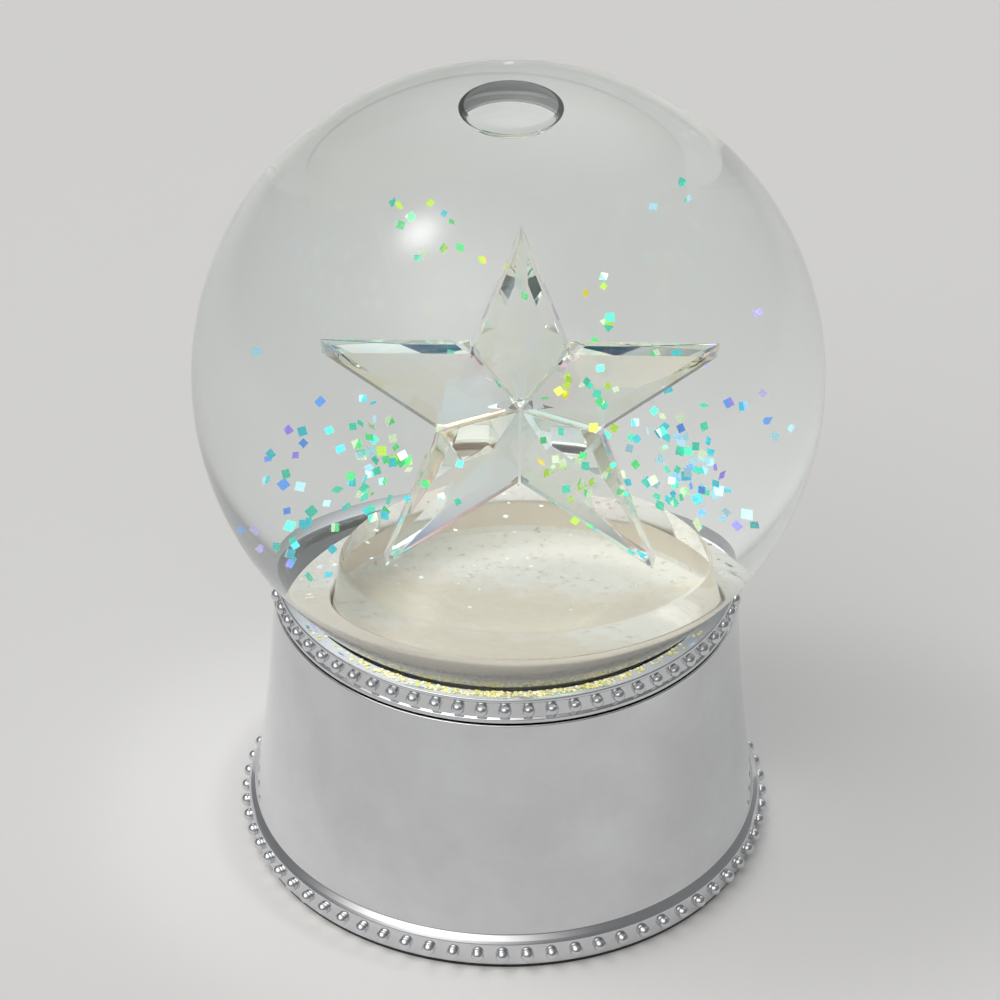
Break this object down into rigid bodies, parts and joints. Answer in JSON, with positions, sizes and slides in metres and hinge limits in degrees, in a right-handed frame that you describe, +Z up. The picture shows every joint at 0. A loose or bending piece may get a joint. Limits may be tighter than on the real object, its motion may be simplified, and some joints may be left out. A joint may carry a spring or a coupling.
{
  "type": "musical water globe",
  "caption": "Liquid-filled glass globe with a faceted crystal star on a clear plinth, on a flared chrome base with beaded bands and a wind-up musical movement.",
  "frame": {"origin": "centre of the round rest face under the base", "axes": "+Z up through the globe; the star's front faces -Y, and its right arm is at +X"},
  "size_m": [0.1, 0.1, 0.1359],
  "materials": {
    "globe_glass": "clear blown glass, polished",
    "liquid": null,
    "crystal": "cut and polished crystal with a faint iridescence",
    "clear_acrylic": "clear polished acrylic",
    "snow": "white, matt and grainy",
    "white_rubber": "matt moulded rubber",
    "chrome": "bright silver plating with faint handling marks",
    "black_rubber": "matt rubber",
    "white_plastic": "moulded, lightly textured",
    "felt": "pressed felt",
    "cast_zinc": "die-cast, bead-blasted",
    "steel": "nickel-plated steel",
    "spring_steel": "ground and tempered steel",
    "brass": "turned brass"
  },
  "bodies": {
    "base": {"glass_globe": "globe_glass", "globe_liquid": "liquid", "star_arm_1": "crystal", "star_arm_2": "crystal", "star_arm_3": "crystal", "star_arm_4": "crystal", "star_arm_5": "crystal", "star_plinth": "clear_acrylic", "snow_bed": "snow", "rubber_stopper": "white_rubber", "base_shell": "chrome", "top_collar": "chrome", "seat_gasket": "black_rubber", "deck_plate": "white_plastic", "globe_cradle": "white_plastic", "bottom_cover": "white_plastic", "felt_ring": "felt", "movement_bedplate": "cast_zinc", "governor_frame": "cast_zinc", "spring_barrel": "steel", "cover_screw_1": "steel", "cover_screw_2": "steel", "cover_screw_3": "steel", "deck_screw_1": "steel", "deck_screw_2": "steel", "deck_screw_3": "steel", "movement_screw_1": "steel", "movement_screw_2": "steel", "movement_screw_3": "steel", "comb_screw_1": "steel", "comb_screw_2": "steel", "governor_screw": "steel", "mainspring": "spring_steel", "tone_comb": "spring_steel"},
    "winder": {"winding_key": "brass", "winding_arbor": "steel"},
    "great_wheel": {"great_wheel": "brass"},
    "cylinder": {"pin_cylinder": "brass", "cylinder_axle": "steel", "drive_pinion": "brass", "cylinder_wheel": "brass"},
    "governor_train": {"train_pinion": "steel", "worm_wheel": "brass"},
    "governor": {"governor_worm": "steel", "governor_fan": "white_plastic"}
  },
  "joints": [
    {"name": "key_wind", "type": "hinge", "parent": "base", "child": "winder", "pos_m": [-0.014, 0, 0.004], "axis": [0, 0, 1], "range_deg": [0, 1980]},
    {"name": "cylinder_spin", "type": "hinge", "parent": "base", "child": "cylinder", "pos_m": [0.011, 0, 0.0255], "axis": [1, 0, 0], "continuous": true},
    {"name": "great_wheel_spin", "type": "hinge", "parent": "base", "child": "great_wheel", "pos_m": [-0.014, 0, 0.021], "axis": [0, 0, 1], "continuous": true},
    {"name": "governor_train_spin", "type": "hinge", "parent": "base", "child": "governor_train", "pos_m": [0.0246, 0.008, 0.0255], "axis": [1, 0, 0], "continuous": true},
    {"name": "governor_fan_spin", "type": "hinge", "parent": "base", "child": "governor", "pos_m": [0.0253, 0.0136, 0.0216], "axis": [0, 0, 1], "continuous": true}
  ],
  "couplings": [
    {"joint": "great_wheel_spin", "follows": "cylinder_spin", "ratio": 0.33333},
    {"joint": "governor_train_spin", "follows": "cylinder_spin", "ratio": -3},
    {"joint": "governor_fan_spin", "follows": "cylinder_spin", "ratio": 48}
  ]
}
